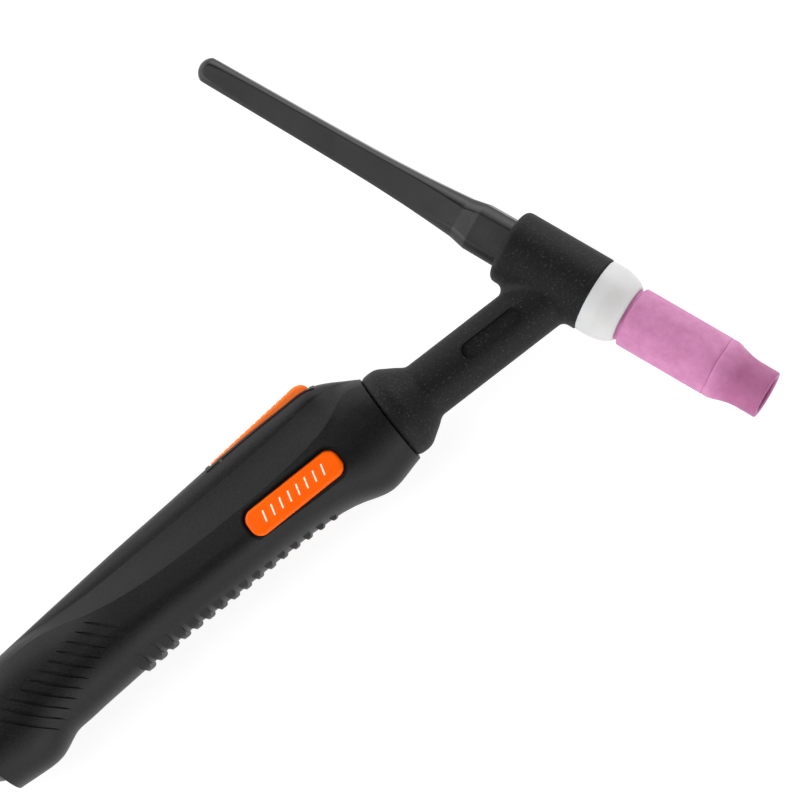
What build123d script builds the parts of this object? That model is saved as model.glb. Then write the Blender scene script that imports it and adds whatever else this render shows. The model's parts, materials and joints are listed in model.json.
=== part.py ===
from build123d import *
import math
import os

# Air-cooled TIG welding torch, lying on its side, in millimetres.
# Design frame: the origin is where the neck axis meets the head axis, +X runs along the neck from
# the handle to the head, +Y is the side of the trigger and the back cap, and +Z is one broad side.
# Every solid is built there, and place_in_row_frame moves it so that the torch rests on Z = 0.

# ---- driving dimensions -------------------------------------------------------------------------

# Head: places along its axis are measured from the neck axis, positive towards the nozzle.
HEAD_TURN = -68.2            # degrees from +X to the nozzle's direction
HEAD_X = -0.45               # where the head's axis crosses the neck's
HEAD_R = 11.6
HEAD_BACK = -20.9
HEAD_FRONT = 8.9
HEAD_BACK_ROUND = 2.4
CORE_R = 8.2
CORE_BACK = -15.0
CORE_THREAD_R = 6.0          # back cap thread
CORE_THREAD_END = -6.7
CORE_BORE_R = 4.6
COLLET_THREAD_R = 5.0
COLLET_THREAD_START = -1.0
RECESS_R = 9.0               # rubber wall round the back cap's collar
MOULD_GAP = 0.05             # between moulded rubber and the metal in it
THREAD_GAP = 0.05            # radial, between threads drawn as plain cylinders

# Gasket and nozzle
GASKET_R = 11.35
GASKET_FRONT_R = 8.6
GASKET_END = 20.4
NOZZLE_R = 9.35
NOZZLE_WAIST_R = 8.2         # short waist where the nozzle meets the gasket
NOZZLE_WAIST_END = 22.0
NOZZLE_BODY_END = 51.4
NOZZLE_SHOULDER_END = 59.0
NOZZLE_TIP_R = 7.55
NOZZLE_END = 67.5
NOZZLE_MOUTH_R = 5.5
NOZZLE_THREAD_R = 6.2
NOZZLE_THREAD_END = 33.0

# Collet body, collet and electrode
COLLET_BODY_TUBE_R = 4.4
COLLET_BODY_END = 47.0
COLLET_BORE_R = 2.6
COLLET_R = 2.55
COLLET_BACK = -8.0
COLLET_FRONT = 44.0
ELECTRODE_R = 1.2
ELECTRODE_TIP = 61.5
ELECTRODE_LENGTH = 150.0
ELECTRODE_POINT = 5.0

# Back cap
CAP_COLLAR_R = 8.7
CAP_FACE = -16.6
CAP_COLLAR_END = -31.6
CAP_COLLAR_END_R = 8.5       # the collar narrows a little towards the body
CAP_RAMP_END = -36.7
CAP_NECK_R = 7.12
CAP_DOME_R = 4.43
CAP_DOME_START = -124.8
CAP_END = -129.0
CAP_THREAD_FRONT = -8.3
CAP_BORE_R = 1.9
CAP_FLATS = 4
CAP_TURN = 7.5               # the first flat, from square to the torch towards the handle
ORING_WIRE_R = 0.7

# Neck: places along it are X values, negative towards the handle.
NECK_R = 8.9
NECK_END = -53.0
FLARE_END = -66.7
FLARE_R = 14.15
FLARE_FACE_R = 13.5
SPIGOT_R = 8.0
SPIGOT_END = -84.0
SPIGOT_GROOVE_R = 6.4
SPIGOT_GROOVE = (-77.0, -73.0)
NECK_FILLET = 2.5
SLOT_LENGTH = 21.0
SLOT_WIDTH = 5.2
SLOT_X = -27.8
SLOT_DEPTH = 1.0
SLOT_RIM = 0.5
SLOT_RIM_HEIGHT = 0.25
TUBE_R = 3.5
TUBE_BORE_R = 2.0
TUBE_HEAD_END = -7.15
TUBE_TAIL_END = -96.0

# Cable adaptor on the tail of the neck tube
ADAPTOR_FRONT = -88.0
ADAPTOR_COLLAR_R = 6.0
ADAPTOR_FLATS = 13.0
ADAPTOR_HEX_END = -105.0
ADAPTOR_THREAD_R = 5.9
ADAPTOR_END = -122.0

# Handle
HANDLE_FRONT = -66.9
HANDLE_REAR = -228.0         # the loft runs past the slanted rear face
REAR_FACE_X = -222.4         # where the rear face meets the knuckle's axis
REAR_TILT = 8.0              # degrees, the rear face leans with the knuckle's axis
CAVITY_FRONT = -86.0
CAVITY_REAR = -199.0
WALL_TOP = 2.6
WALL_BOTTOM = 2.4
WALL_SIDE = 3.0
SPIGOT_GAP = 0.05

# Trigger and its well
TRIGGER_FRONT = -80.6
TRIGGER_REAR = -117.4
TRIGGER_HALF_WIDTH = 5.5
TRIGGER_TOP_FRONT = 24.1
TRIGGER_TOP_REAR = 21.2
TRIGGER_UNDER = 17.4
WELL_GAP = 0.5
WELL_WALL = 2.2
WELL_FLOOR = 11.0
WELL_RIM_WIDTH = 1.2
WELL_RIM_HEIGHT = 0.3
PIVOT_X = -113.6
PIVOT_Y = 18.3
PIN_R = 1.25
PIN_HALF_LENGTH = 7.2
SERRATIONS = 15
SERRATION_DEPTH = 0.45

# Micro switch under the trigger
SWITCH_X = (-108.0, -95.0)
SWITCH_Y = (8.7, 14.7)
SWITCH_HALF_WIDTH = 2.9
PLUNGER_X = -99.0
PLUNGER_R = 0.9
PLUNGER_TOP = 15.9
PLUNGER_FOOT = 12.6
SPRING_X = -89.0
SPRING_SEAT = 10.6
SPRING_COIL_R = 2.1
SPRING_WIRE_R = 0.28
SPRING_TURNS = 5

# Switch leads and their plug
LEAD_R = 0.65
LEAD_SPREAD = 1.6
LEAD_END_X = -150.0
PLUG_LENGTH = 12.0
PLUG_Y = 8.3
PLUG_HALF_HEIGHT = 2.6
PLUG_HALF_WIDTH = 3.6

# Badges in the sides of the handle
BADGE_LENGTH = 33.5
BADGE_WIDTH = 8.7
BADGE_CORNER = 3.4
BADGE_X = -101.4
BADGE_Y = -2.8
BADGE_TURN = 1.0
BADGE_GAP = 0.8
BADGE_STEP = 0.4             # width of the low step round the badge's pocket
BADGE_STEP_DEPTH = 0.3
POCKET_FLOOR = 14.0
BADGE_TOP = 15.7

# Finger ribs along the lower edge
RIBS = 16
RIB_FIRST_X = -97.6
RIB_LAST_X = -167.9
RIB_HALF_LENGTHS = (1.1, 1.6)  # first, last
RIB_REACHES = (2.4, 9.6)      # how far the rib climbs the side
RIB_HEIGHTS = (0.75, 1.15)

# Thumb grooves on the sides near the rear
GROOVES = 11
GROOVE_FIRST = (-169.9, 1.4)
GROOVE_LAST = (-205.3, -8.0)
GROOVE_TURN = -46.2
GROOVE_LENGTHS = (12.0, 20.0)  # first, last
GROOVE_WIDTHS = (0.95, 1.2)
GROOVE_DEPTH = 0.6

# Handle screws, driven from the far side
SCREW_PLACES = ((-79.5, -11.9), (-134.0, 13.6), (-193.0, 8.6))
SCREW_R = 1.4
SCREW_HEAD_R = 2.6
SCREW_HEAD_HEIGHT = 2.0
SCREW_SEATS = (-7.0, -4.5, -5.5)
SCREW_TIP = 7.0
BOSS_R = 3.2

# Knuckle: a ball in the handle's rear end, with a tail for the cable cover
BALL_R = 13.6
BALL_GAP = 0.08
BALL_X = -217.0
BALL_Y = -3.0
BALL_BORE_R = 6.5
BALL_FRONT = -10.4           # flat front of the ball, from its centre
TAIL_R = 9.4
TAIL_LENGTH = 25.5           # from the ball's centre
TAIL_BARBS = 3

# ---- frames and small helpers --------------------------------------------------------------------

HEAD_DIRECTION = (math.cos(math.radians(HEAD_TURN)), math.sin(math.radians(HEAD_TURN)), 0)
HEAD_PLANE = Plane(origin=(HEAD_X, 0, 0), x_dir=(0, 0, 1), z_dir=HEAD_DIRECTION)
NECK_PLANE = Plane(origin=(0, 0, 0), x_dir=(0, 1, 0), z_dir=(1, 0, 0))
TAIL_DIRECTION = (-math.cos(math.radians(REAR_TILT)), -math.sin(math.radians(REAR_TILT)), 0)
TAIL_PLANE = Plane(origin=(BALL_X, BALL_Y, 0), x_dir=(0, 0, 1), z_dir=TAIL_DIRECTION)


def turned(plane, *segments):
    """A solid of revolution about the plane's Z, from outline segments given as (radius, along)."""
    edges = [edge for segment in segments for edge in segment.edges()]
    return plane.location * revolve(make_face(edges), axis=Axis.Z)


def line(*points):
    """Outline run through (radius, along) points."""
    return Polyline([(radius, 0, along) for radius, along in points])


def curve(points, start=None, end=None):
    """Smooth outline run through (radius, along) points, with optional end directions."""
    tangents = None
    if start:
        tangents = [(start[0], 0, start[1]), (end[0], 0, end[1])]
    return Spline([(radius, 0, along) for radius, along in points], tangents=tangents)


def turned_outline(plane, points):
    """A solid of revolution from one closed straight-sided outline of (radius, along) points."""
    return turned(plane, line(*points, points[0]))


def box_between(low, high):
    """A box between two opposite corners."""
    size = [b - a for a, b in zip(low, high)]
    middle = [(a + b) / 2 for a, b in zip(low, high)]
    return Pos(*middle) * Box(*size)


def rod(radius, start, end, x, y):
    """A cylinder along Z through (x, y)."""
    return Pos(x, y, (start + end) / 2) * Cylinder(radius, end - start)


def mirrored(shape):
    """The same shape on the far side of the torch."""
    return mirror(shape, about=Plane.XY)


# ---- head and neck --------------------------------------------------------------------------------

def make_torch_core():
    """Brass head body: the back cap screws in behind, the collet body in front, the tube at the side."""
    core = turned_outline(HEAD_PLANE, [
        (CORE_THREAD_R, CORE_BACK),
        (CORE_R, CORE_BACK),
        (CORE_R, HEAD_FRONT - 0.4),
        (COLLET_THREAD_R, HEAD_FRONT - 0.4),
        (COLLET_THREAD_R, COLLET_THREAD_START),
        (CORE_BORE_R, COLLET_THREAD_START),
        (CORE_BORE_R, CORE_THREAD_END),
        (CORE_THREAD_R, CORE_THREAD_END),
    ])
    port = Pos(-HEAD_R, 0, 0) * Rot(0, 90, 0) * Cylinder(TUBE_R, 2 * HEAD_R - 2)
    front_half = turned_outline(HEAD_PLANE, [
        (0, CORE_BACK), (CORE_BORE_R + 0.4, CORE_BACK), (CORE_BORE_R + 0.4, HEAD_FRONT), (0, HEAD_FRONT),
    ])
    return core - (port - front_half)


def make_neck_tube():
    """Copper tube that carries current and gas from the cable adaptor to the head."""
    length = TUBE_HEAD_END - TUBE_TAIL_END
    middle = (TUBE_HEAD_END + TUBE_TAIL_END) / 2
    tube = Pos(middle, 0, 0) * Rot(0, 90, 0) * Cylinder(TUBE_R, length)
    tube -= Pos(middle, 0, 0) * Rot(0, 90, 0) * Cylinder(TUBE_BORE_R, length)
    return tube


def slot_prism(plane_z, height, grow):
    """A full-radius slot along the neck, grown sideways, from plane_z upwards."""
    outline = SlotOverall(SLOT_LENGTH + 2 * grow, SLOT_WIDTH + 2 * grow)
    return Pos(SLOT_X, 0, plane_z) * extrude(outline, height)


def make_head_overmould():
    """Moulded rubber over the head and the neck, with the bell flare and the spigot in the handle."""
    head = turned(
        HEAD_PLANE,
        line((0, HEAD_BACK), (HEAD_R - HEAD_BACK_ROUND, HEAD_BACK)),
        curve(
            [(HEAD_R - HEAD_BACK_ROUND, HEAD_BACK), (HEAD_R, HEAD_BACK + HEAD_BACK_ROUND)],
            start=(1, 0), end=(0, 1),
        ),
        line((HEAD_R, HEAD_BACK + HEAD_BACK_ROUND), (HEAD_R, HEAD_FRONT - 0.5)),
        line((HEAD_R, HEAD_FRONT - 0.5), (HEAD_R - 0.5, HEAD_FRONT), (0, HEAD_FRONT), (0, HEAD_BACK)),
    )
    neck = Pos(NECK_END / 2, 0, 0) * Rot(0, 90, 0) * Cylinder(NECK_R, -NECK_END)
    rubber = head + neck
    seam = [
        edge for edge in rubber.edges()
        if edge.geom_type not in (GeomType.CIRCLE, GeomType.LINE) and -HEAD_R - 6 < edge.center().X < 0
    ]
    rubber = fillet(seam, NECK_FILLET)

    flare = turned(
        NECK_PLANE,
        line((0, NECK_END), (NECK_R, NECK_END)),
        curve(
            [(NECK_R, NECK_END), (10.3, -56.0), (12.4, -59.2), (FLARE_R, -64.0)],
            start=(0, -1), end=(0, -1),
        ),
        curve([(FLARE_R, -64.0), (FLARE_FACE_R, FLARE_END)], start=(0, -1), end=(-1, -1)),
        line(
            (FLARE_FACE_R, FLARE_END),
            (SPIGOT_R, FLARE_END),
            (SPIGOT_R, SPIGOT_GROOVE[1]),
            (SPIGOT_GROOVE_R, SPIGOT_GROOVE[1]),
            (SPIGOT_GROOVE_R, SPIGOT_GROOVE[0]),
            (SPIGOT_R, SPIGOT_GROOVE[0]),
            (SPIGOT_R, SPIGOT_END),
            (0, SPIGOT_END),
            (0, NECK_END),
        ),
    )
    rubber += flare

    rim = slot_prism(NECK_R - 2, 4, SLOT_RIM) - slot_prism(NECK_R - 2, 4, 0)
    skin = Pos(SLOT_X, 0, 0) * Rot(0, 90, 0) * Cylinder(NECK_R + SLOT_RIM_HEIGHT, SLOT_LENGTH + 4)
    rim = rim & skin
    recess = slot_prism(NECK_R - SLOT_DEPTH, 4, 0)
    rubber = rubber + rim + mirrored(rim) - recess - mirrored(recess)

    core_space = turned_outline(HEAD_PLANE, [
        (0, CORE_BACK - MOULD_GAP),
        (CORE_R + MOULD_GAP, CORE_BACK - MOULD_GAP),
        (CORE_R + MOULD_GAP, HEAD_FRONT),
        (0, HEAD_FRONT),
    ])
    cap_space = turned_outline(HEAD_PLANE, [
        (0, HEAD_BACK), (RECESS_R, HEAD_BACK), (RECESS_R, CORE_BACK), (0, CORE_BACK),
    ])
    tube_space = Pos(SPIGOT_END / 2, 0, 0) * Rot(0, 90, 0) * Cylinder(TUBE_R + MOULD_GAP, -SPIGOT_END)
    return rubber - core_space - cap_space - tube_space


def make_cable_adaptor():
    """Brass fitting brazed on the tube's tail: a collar, a hexagon and a thread for the power cable."""
    flats = RegularPolygon(ADAPTOR_FLATS / 2, 6, major_radius=False, rotation=30)
    collar_end = TUBE_TAIL_END
    hexagon = Plane(origin=(ADAPTOR_HEX_END, 0, 0), x_dir=(0, 0, 1), z_dir=(1, 0, 0)).location * extrude(
        flats, collar_end - ADAPTOR_HEX_END
    )
    body = turned_outline(NECK_PLANE, [
        (0, ADAPTOR_FRONT), (ADAPTOR_COLLAR_R - 0.6, ADAPTOR_FRONT), (ADAPTOR_COLLAR_R, ADAPTOR_FRONT - 0.6),
        (ADAPTOR_COLLAR_R, collar_end), (ADAPTOR_THREAD_R - 1.0, collar_end),
        (ADAPTOR_THREAD_R - 1.0, ADAPTOR_HEX_END - 2.0), (ADAPTOR_THREAD_R, ADAPTOR_HEX_END - 2.6),
        (ADAPTOR_THREAD_R, ADAPTOR_END + 0.8), (ADAPTOR_THREAD_R - 0.8, ADAPTOR_END), (0, ADAPTOR_END),
    ])
    socket = Pos((ADAPTOR_FRONT + collar_end) / 2, 0, 0) * Rot(0, 90, 0) * Cylinder(
        TUBE_R, ADAPTOR_FRONT - collar_end
    )
    gas_way = Pos((collar_end + ADAPTOR_END) / 2, 0, 0) * Rot(0, 90, 0) * Cylinder(
        TUBE_BORE_R, collar_end - ADAPTOR_END
    )
    return body + hexagon - socket - gas_way


# ---- consumables -----------------------------------------------------------------------------------

def make_cup_gasket():
    """White heat-shield ring with a round front shoulder."""
    round_start = 15.8
    return turned(
        HEAD_PLANE,
        line(
            (GASKET_R, round_start), (GASKET_R, HEAD_FRONT + 0.3), (GASKET_R - 0.3, HEAD_FRONT),
            (COLLET_THREAD_R + 0.2, HEAD_FRONT), (COLLET_THREAD_R + 0.2, GASKET_END),
            (GASKET_FRONT_R, GASKET_END),
        ),
        curve([(GASKET_FRONT_R, GASKET_END), (GASKET_R, round_start)], start=(1.2, -0.25), end=(0.1, -1)),
    )


def make_collet_body():
    """Copper collet body: thread for the head, thread for the nozzle, and a tube with gas holes."""
    inner_thread_r = COLLET_THREAD_R - THREAD_GAP
    nozzle_thread_r = NOZZLE_THREAD_R - THREAD_GAP
    body = turned_outline(HEAD_PLANE, [
        (COLLET_BORE_R, COLLET_THREAD_START + 0.3), (inner_thread_r - 0.5, COLLET_THREAD_START + 0.3),
        (inner_thread_r, COLLET_THREAD_START + 0.8), (inner_thread_r, GASKET_END + 0.15),
        (nozzle_thread_r - 0.5, GASKET_END + 0.15), (nozzle_thread_r, GASKET_END + 0.65),
        (nozzle_thread_r, NOZZLE_THREAD_END - 1.5), (COLLET_BODY_TUBE_R, NOZZLE_THREAD_END - 0.5),
        (COLLET_BODY_TUBE_R, COLLET_BODY_END - 1.0), (COLLET_BODY_TUBE_R - 1.0, COLLET_BODY_END),
        (ELECTRODE_R + 0.15, COLLET_BODY_END), (ELECTRODE_R + 0.15, COLLET_BODY_END - 1.2),
        (COLLET_BORE_R, COLLET_FRONT + 0.6),
    ])
    for turn in range(4):
        hole = Rot(0, 0, 45 + 90 * turn) * Pos(COLLET_BODY_TUBE_R, 0, 38) * Rot(0, 90, 0) * Cylinder(1.1, 6)
        body -= HEAD_PLANE.location * hole
    return body


def make_collet():
    """Split copper collet that grips the electrode."""
    collet = turned_outline(HEAD_PLANE, [
        (ELECTRODE_R + 0.05, COLLET_BACK), (COLLET_R - 0.3, COLLET_BACK), (COLLET_R, COLLET_BACK + 0.3),
        (COLLET_R, COLLET_FRONT - 1.0), (COLLET_R - 0.8, COLLET_FRONT), (ELECTRODE_R + 0.05, COLLET_FRONT),
    ])
    slit_length = 14.0
    for turn in (0, 90):
        slit = Rot(0, 0, turn) * Pos(0, 0, COLLET_FRONT - slit_length / 2) * Box(
            0.4, 3 * COLLET_R, slit_length
        )
        collet -= HEAD_PLANE.location * slit
    return collet


def make_electrode():
    """Tungsten electrode with a ground point, standing inside the nozzle."""
    tip_flat_r = 0.15
    rear = ELECTRODE_TIP - ELECTRODE_LENGTH
    return turned_outline(HEAD_PLANE, [
        (0, rear), (ELECTRODE_R, rear), (ELECTRODE_R, ELECTRODE_TIP - ELECTRODE_POINT),
        (tip_flat_r, ELECTRODE_TIP), (0, ELECTRODE_TIP),
    ])


def make_nozzle():
    """Alumina nozzle: threaded bore, long body, sloping shoulder and a narrow tip."""
    return turned(
        HEAD_PLANE,
        line(
            (NOZZLE_THREAD_R, GASKET_END + 0.05), (NOZZLE_WAIST_R, GASKET_END + 0.05),
            (NOZZLE_WAIST_R, NOZZLE_WAIST_END - 0.5), (NOZZLE_R - 0.4, NOZZLE_WAIST_END),
            (NOZZLE_R, NOZZLE_WAIST_END + 0.5), (NOZZLE_R, NOZZLE_BODY_END),
        ),
        curve(
            [(NOZZLE_R, NOZZLE_BODY_END), (8.42, 55.9), (NOZZLE_TIP_R, NOZZLE_SHOULDER_END)],
            start=(-0.05, 1), end=(-0.02, 1),
        ),
        line(
            (NOZZLE_TIP_R, NOZZLE_SHOULDER_END), (NOZZLE_TIP_R - 0.05, NOZZLE_END - 0.4),
            (NOZZLE_TIP_R - 0.45, NOZZLE_END), (NOZZLE_MOUTH_R + 0.4, NOZZLE_END),
            (NOZZLE_MOUTH_R, NOZZLE_END - 0.4), (NOZZLE_MOUTH_R, NOZZLE_SHOULDER_END),
            (NOZZLE_R - 2.8, NOZZLE_BODY_END), (NOZZLE_R - 2.8, NOZZLE_THREAD_END),
            (NOZZLE_THREAD_R, NOZZLE_THREAD_END), (NOZZLE_THREAD_R, GASKET_END + 0.05),
        ),
    )


# Ridge radius down the body of the cap, and the distance of the flats from its axis at the same places.
CAP_TAPER = [
    (CAP_NECK_R, CAP_RAMP_END), (6.71, -44.5), (6.31, -53.0), (5.8, -64.0), (5.44, -76.5),
    (5.18, -92.0), (4.8, -112.0), (CAP_DOME_R, CAP_DOME_START),
]
CAP_FLAT_DISTANCES = [6.4, 5.75, 5.17, 4.69, 4.4, 4.19, 3.98, 3.91]
CAP_COLLAR_FLATS = (7.5, 7.4)     # at the collar's face and at its end


def make_back_cap():
    """Long back cap: threaded spigot, collar and a slim body, both with four flats."""
    thread_r = CORE_THREAD_R - THREAD_GAP
    body = turned(
        HEAD_PLANE,
        line(
            (0, CAP_THREAD_FRONT), (thread_r - 0.6, CAP_THREAD_FRONT), (thread_r, CAP_THREAD_FRONT - 0.6),
            (thread_r, CAP_FACE), (CAP_COLLAR_R - 0.4, CAP_FACE), (CAP_COLLAR_R, CAP_FACE - 0.4),
            (CAP_COLLAR_END_R, CAP_COLLAR_END), (CAP_NECK_R, CAP_RAMP_END),
        ),
        curve(CAP_TAPER, start=(-0.14, -1), end=(-0.01, -1)),
        curve([(CAP_DOME_R, CAP_DOME_START), (3.1, -127.9), (0, CAP_END)], start=(0, -1), end=(-1, 0)),
        line((0, CAP_END), (0, CAP_THREAD_FRONT)),
    )
    flat = [(distance, along) for distance, (radius, along) in zip(CAP_FLAT_DISTANCES, CAP_TAPER)]
    face_r, collar_r = CAP_COLLAR_FLATS
    last_r, last_along = flat[-1]
    beyond_r = 2 * CAP_COLLAR_R
    beyond_along = CAP_END - 1
    side = [
        Line((beyond_r, 0, CAP_FACE), (face_r, 0, CAP_FACE)),
        Line((face_r, 0, CAP_FACE), (collar_r, 0, CAP_COLLAR_END)),
        Line((collar_r, 0, CAP_COLLAR_END), (flat[0][0], 0, CAP_RAMP_END)),
        curve(flat, start=(-0.1, -1), end=(0, -1)),
        Line((last_r, 0, last_along), (last_r, 0, beyond_along)),
        Line((last_r, 0, beyond_along), (beyond_r, 0, beyond_along)),
        Line((beyond_r, 0, beyond_along), (beyond_r, 0, CAP_FACE)),
    ]
    cutter = extrude(make_face(side), CAP_COLLAR_R, dir=(0, 1, 0), both=True)
    for number in range(CAP_FLATS):
        body -= HEAD_PLANE.location * (Rot(0, 0, CAP_TURN + number * 360 / CAP_FLATS) * cutter)
    bore_end = -121.0
    bore = turned_outline(HEAD_PLANE, [
        (0, CAP_THREAD_FRONT), (COLLET_R + 0.3, CAP_THREAD_FRONT), (CAP_BORE_R, CAP_THREAD_FRONT - 1.5),
        (CAP_BORE_R, bore_end), (0, bore_end - 1.5),
    ])
    return body - bore


def make_back_cap_oring():
    """Seal between the back cap's collar and the head body."""
    middle = (CAP_FACE + CORE_BACK) / 2
    ring_r = CORE_THREAD_R + ORING_WIRE_R + 0.1
    return HEAD_PLANE.location * (Pos(0, 0, middle) * Torus(ring_r, ORING_WIRE_R))


# ---- handle -----------------------------------------------------------------------------------------

# One row for each station along the handle: X, top, bottom, half width, height of the widest place,
# crease (Y, Z), valley (Y, Z) and how strongly the crease shows (0 is a plain oval).
STATIONS = [
    (-66.9, 14.4, -14.8, 14.5, 0.2, (11.2, 9.5), (14.0, 4.6), 0.0),
    (-69.7, 16.1, -15.5, 14.9, 0.1, (11.1, 10.6), (14.6, 5.9), 0.3),
    (-73.0, 18.15, -16.4, 15.3, 0.0, (10.8, 11.8), (15.2, 7.2), 0.6),
    (-80.0, 21.5, -17.3, 15.9, -0.8, (8.4, 14.0), (16.6, 9.4), 1.0),
    (-88.0, 22.0, -15.0, 16.2, -2.0, (5.9, 15.1), (15.9, 10.4), 1.0),
    (-98.0, 22.0, -13.3, 16.1, -3.0, (4.4, 15.4), (14.9, 10.6), 1.0),
    (-115.0, 21.6, -13.0, 15.7, -3.2, (3.3, 15.1), (14.0, 10.3), 1.0),
    (-135.0, 20.2, -13.5, 15.1, -3.0, (3.1, 14.5), (13.2, 9.5), 1.0),
    (-155.0, 18.9, -13.7, 14.7, -2.4, (3.9, 13.8), (12.6, 8.4), 1.0),
    (-172.0, 17.5, -15.0, 14.7, -2.0, (6.8, 12.4), (12.6, 7.2), 1.0),
    (-187.0, 16.25, -16.1, 15.0, -2.0, (10.4, 9.6), (13.2, 5.8), 0.7),
    (-192.0, 15.8, -16.5, 15.2, -2.2, (10.8, 9.5), (13.3, 5.4), 0.45),
    (-196.5, 15.4, -16.95, 15.5, -2.4, (11.0, 9.4), (13.4, 5.2), 0.25),
    (-200.5, 15.0, -18.7, 15.9, -2.7, (10.8, 9.5), (13.2, 5.3), 0.1),
    (-204.5, 14.6, -20.3, 16.2, -3.0, (10.6, 9.6), (13.0, 5.4), 0.0),
    (-209.0, 14.15, -20.7, 16.4, -3.0, (10.3, 9.6), (12.7, 5.4), 0.0),
    (-213.5, 13.7, -20.45, 16.4, -3.0, (10.1, 9.6), (12.5, 5.4), 0.0),
    (-218.0, 13.25, -20.15, 16.25, -3.0, (9.7, 9.5), (12.1, 5.4), 0.0),
    (-222.5, 12.8, -19.85, 16.05, -3.0, (9.4, 9.45), (11.7, 5.4), 0.0),
    (HANDLE_REAR, 12.3, -19.5, 15.7, -3.0, (9.1, 9.4), (11.2, 5.4), 0.0),
]
CREASE_PARAM = 50.0
VALLEY_PARAM = 72.0


def blend(first, second, share):
    """Point between two (Y, Z) points."""
    return tuple(a + (b - a) * share for a, b in zip(first, second))


def oval_arc(middle, height, width, start, end):
    """Cubic control points of an oval's arc, from angle start to end, measured from the widest place."""
    reach = 4 / 3 * math.tan(math.radians(end - start) / 4)

    def point(angle):
        a = math.radians(angle)
        return middle + height * math.sin(a), width * math.cos(a)

    def slope(angle):
        a = math.radians(angle)
        return height * math.cos(a), -width * math.sin(a)

    p, q, sp, sq = point(start), point(end), slope(start), slope(end)
    return [
        p,
        (p[0] + reach * sp[0], p[1] + reach * sp[1]),
        (q[0] - reach * sq[0], q[1] - reach * sq[1]),
        q,
    ]


def section_curves(top, bottom, width, middle, crease, valley, sharpness):
    """The four cubic curves round one side of the handle, from the bottom to the top."""
    below = oval_arc(middle, middle - bottom, width, -90, 0)
    ovals = [
        oval_arc(middle, top - middle, width, 0, CREASE_PARAM),
        oval_arc(middle, top - middle, width, CREASE_PARAM, VALLEY_PARAM),
        oval_arc(middle, top - middle, width, VALLEY_PARAM, 90),
    ]
    rise = crease[0] - middle
    side = [
        (middle, width),
        (middle + 0.45 * rise, width),
        (middle + 0.75 * rise, crease[1] + 0.35 * (width - crease[1])),
        crease,
    ]
    facet_middle = blend(crease, valley, 0.62)
    facet = [crease, blend(crease, valley, 0.33), (facet_middle[0], facet_middle[1] - 0.35), valley]
    crown_rise = top - valley[0]
    crown = [
        valley,
        (valley[0] + 0.55 * crown_rise, valley[1] - 0.10 * crown_rise),
        (top, 0.62 * valley[1]),
        (top, 0),
    ]
    curves = [below]
    for oval, creased in zip(ovals, (side, facet, crown)):
        curves.append([blend(a, b, sharpness) for a, b in zip(oval, creased)])
    return curves


def half_loft(stations):
    """A solid lofted through one-sided sections, closed on the torch's middle plane."""
    wires = []
    for x, top, bottom, width, middle, crease, valley, sharpness in stations:
        curves = section_curves(top, bottom, width, middle, crease, valley, sharpness)
        edges = [Bezier(*[(x, y, z) for y, z in points]) for points in curves]
        edges.append(Line((x, top, 0), (x, bottom, 0)))
        wires.append(Wire(edges))
    return Solid.make_loft(wires)


def between_stations(x):
    """Handle station at any X, on a straight blend of its neighbours."""
    for near, far in zip(STATIONS, STATIONS[1:]):
        if far[0] <= x <= near[0]:
            share = (near[0] - x) / (near[0] - far[0])
            plain = [a + (b - a) * share for a, b in zip(near[:5], far[:5])]
            return (*plain, blend(near[5], far[5], share), blend(near[6], far[6], share),
                    near[7] + (far[7] - near[7]) * share)
    raise ValueError("no handle there")


def offset_station(station, grow):
    """The skin's section at one station, moved outwards by grow."""
    x, top, bottom, width, middle, crease, valley, sharpness = station
    return (
        x, top + grow, bottom - grow, width + grow, middle,
        (crease[0] + 0.2 * grow, crease[1] + grow), (valley[0] + 0.7 * grow, valley[1] + 0.7 * grow), sharpness,
    )


def cavity_station(station):
    """The inner wall's section at one station."""
    x, top, bottom, width, middle, crease, valley, sharpness = station
    return (
        x, top - WALL_TOP, bottom + WALL_BOTTOM, width - WALL_SIDE, middle,
        (crease[0] - 0.3, crease[1] - WALL_SIDE), (valley[0] - 1.9, valley[1] - 1.9), sharpness,
    )


def make_cavity():
    """Space inside one half of the handle."""
    inside = [CAVITY_FRONT] + [s[0] for s in STATIONS if CAVITY_REAR < s[0] < CAVITY_FRONT] + [CAVITY_REAR]
    return half_loft([cavity_station(between_stations(x)) for x in inside])


def badge_outline(grow):
    """Rounded plate outline of the badge, grown for its pocket."""
    return RectangleRounded(BADGE_LENGTH + 2 * grow, BADGE_WIDTH + 2 * grow, BADGE_CORNER + grow)


def badge_place(z):
    """Where the badge's outline lies."""
    return Pos(BADGE_X, BADGE_Y, z) * Rot(0, 0, BADGE_TURN)


def make_badge():
    """Glossy inlay with a softened top edge."""
    plate = badge_place(POCKET_FLOOR) * extrude(badge_outline(0), BADGE_TOP - POCKET_FLOOR)
    return fillet(plate.faces().sort_by(Axis.Z)[-1].edges(), 0.6)


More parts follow.
